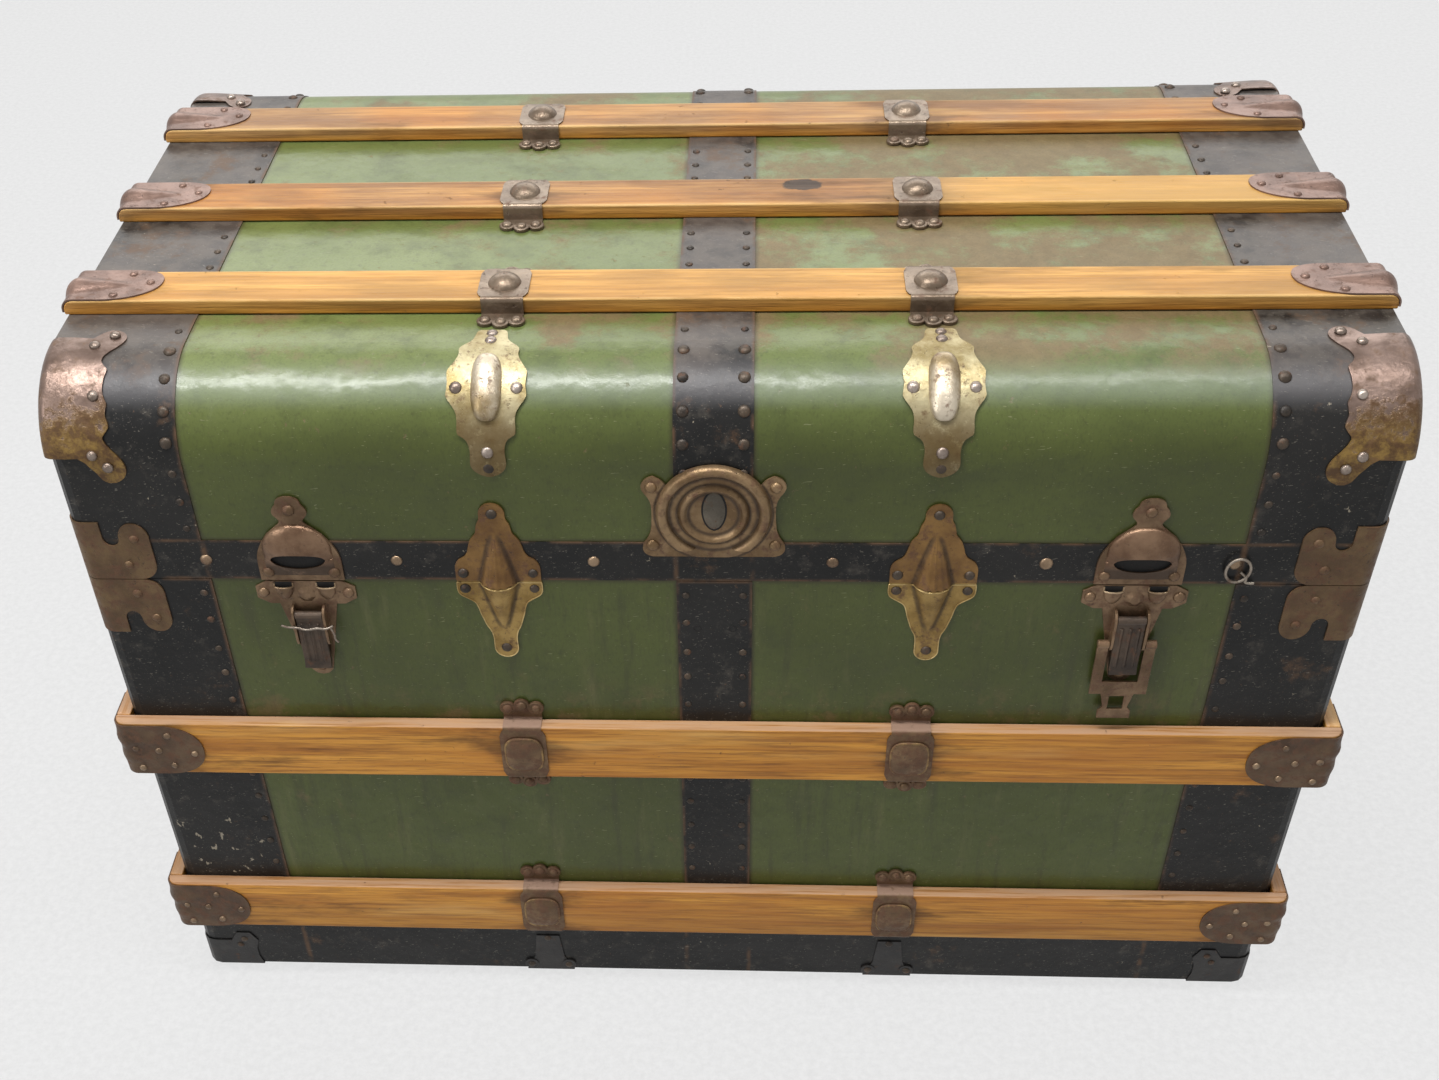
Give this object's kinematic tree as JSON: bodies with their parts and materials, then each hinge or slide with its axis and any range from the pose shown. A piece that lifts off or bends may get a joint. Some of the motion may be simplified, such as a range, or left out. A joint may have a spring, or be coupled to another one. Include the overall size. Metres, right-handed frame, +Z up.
{
  "type": "steamer trunk",
  "caption": "Flat-topped steamer trunk with rolled lid edges, slats, metal corner hardware, a lock front, latches and a lid hinged at the back.",
  "frame": {"origin": "middle of the footprint at floor level, under the runners", "axes": "+X along the trunk's width to its right as seen from the front, -Y out of the front with the lock, +Z up"},
  "size_m": [0.9664, 0.5474, 0.6207],
  "materials": {
    "box_wood": "bare softwood board",
    "green_cover": "worn green painted sheet",
    "black_band": "worn black painted sheet",
    "slat_wood": "varnished hardwood",
    "bronze_hardware": "dull rusted bronze plating",
    "brass_hardware": "tarnished brass plating",
    "dark_hardware": "black painted stamping",
    "hinge_steel": "dull steel",
    "leather": "dry brown leather"
  },
  "bodies": {
    "base": {"front_board": "box_wood", "back_board": "box_wood", "left_board": "box_wood", "right_board": "box_wood", "bottom_board": "box_wood", "base_cover": "green_cover", "bottom_tray": "black_band", "base_corner_bindings": "black_band", "base_centre_straps": "black_band", "upper_front_slat": "slat_wood", "upper_back_slat": "slat_wood", "lower_front_slat": "slat_wood", "lower_back_slat": "slat_wood", "right_side_slats": "slat_wood", "left_side_slats": "slat_wood", "bottom_runners": "slat_wood", "base_slat_clamps": "bronze_hardware", "slat_corner_caps": "bronze_hardware", "bottom_clamps": "dark_hardware", "base_corner_plates": "bronze_hardware", "bottom_bumpers": "dark_hardware", "guide_sockets": "brass_hardware", "latch_plates": "bronze_hardware", "base_hinge_leaves": "hinge_steel", "hinge_pins": "hinge_steel", "right_handle": "leather", "left_handle": "leather", "handle_loops": "bronze_hardware"},
    "lid": {"lid_front_board": "box_wood", "lid_back_board": "box_wood", "lid_front_round": "box_wood", "lid_back_round": "box_wood", "lid_top_board": "box_wood", "lid_left_end": "box_wood", "lid_right_end": "box_wood", "lid_cover": "green_cover", "lid_left_band": "black_band", "lid_right_band": "black_band", "lid_centre_strap": "black_band", "lid_rim": "black_band", "front_top_slat": "slat_wood", "middle_top_slat": "slat_wood", "rear_top_slat": "slat_wood", "top_slat_clamps": "bronze_hardware", "top_slat_caps": "bronze_hardware", "lid_corner_bumpers": "bronze_hardware", "lid_corner_plates": "bronze_hardware", "lid_shields": "brass_hardware", "lock_plate": "bronze_hardware", "keyhole_plate": "dark_hardware", "lid_guides": "brass_hardware", "latch_catches": "bronze_hardware", "lid_hinge_leaves": "hinge_steel"},
    "left_lever": {"left_lever": "dark_hardware"},
    "right_lever": {"right_lever": "dark_hardware"},
    "right_hasp": {"right_hasp": "bronze_hardware"}
  },
  "joints": [
    {"name": "lid_hinge", "type": "hinge", "parent": "base", "child": "lid", "pos_m": [0, 0.2622, 0.4463], "axis": [-1, 0, 0], "range_deg": [0, 100]},
    {"name": "left_lever_pivot", "type": "hinge", "parent": "base", "child": "left_lever", "pos_m": [-0.296, -0.2637, 0.417], "axis": [-1, 0, 0], "range_deg": [0, 100]},
    {"name": "right_lever_pivot", "type": "hinge", "parent": "base", "child": "right_lever", "pos_m": [0.296, -0.2637, 0.417], "axis": [-1, 0, 0], "range_deg": [0, 100]},
    {"name": "right_hasp_pivot", "type": "hinge", "parent": "base", "child": "right_hasp", "pos_m": [0.296, -0.2637, 0.395], "axis": [-1, 0, 0], "range_deg": [0, 180]}
  ]
}
